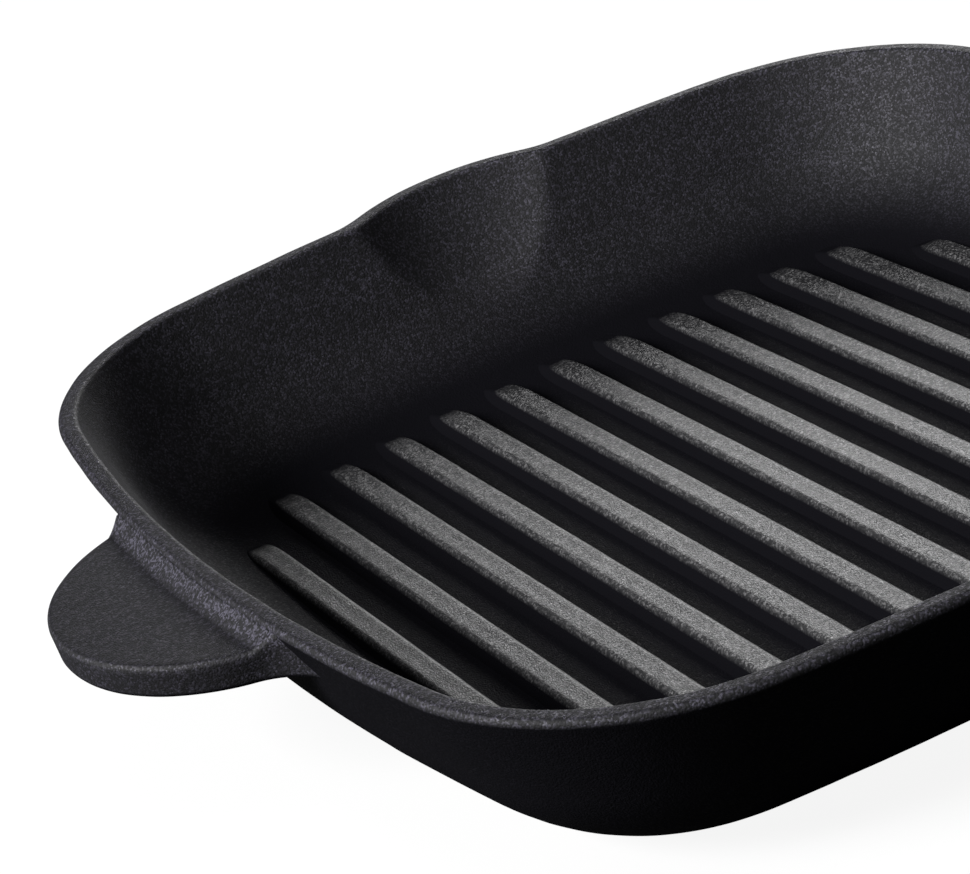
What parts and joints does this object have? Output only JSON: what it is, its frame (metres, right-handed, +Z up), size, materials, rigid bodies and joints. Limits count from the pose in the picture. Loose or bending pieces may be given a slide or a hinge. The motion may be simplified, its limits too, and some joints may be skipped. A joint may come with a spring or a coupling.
{
  "type": "grill pan",
  "caption": "Square cast-iron grill pan with bowed sides, raised ridges, pouring spouts, a solid thumb tab and a long handle with a hanging hole.",
  "frame": {"origin": "centre of the flat underside", "axes": "+Z up, +X from the thumb tab to the long handle, +Y along the ridges to one pouring spout"},
  "size_m": [0.4377, 0.2842, 0.0615],
  "materials": {
    "casting": "matte, fine sand-cast grain with a black seasoned coat"
  },
  "bodies": {
    "root": {"pan_body": "casting", "grill_ridges": "casting", "helper_tab": "casting", "long_handle": "casting"}
  },
  "joints": []
}
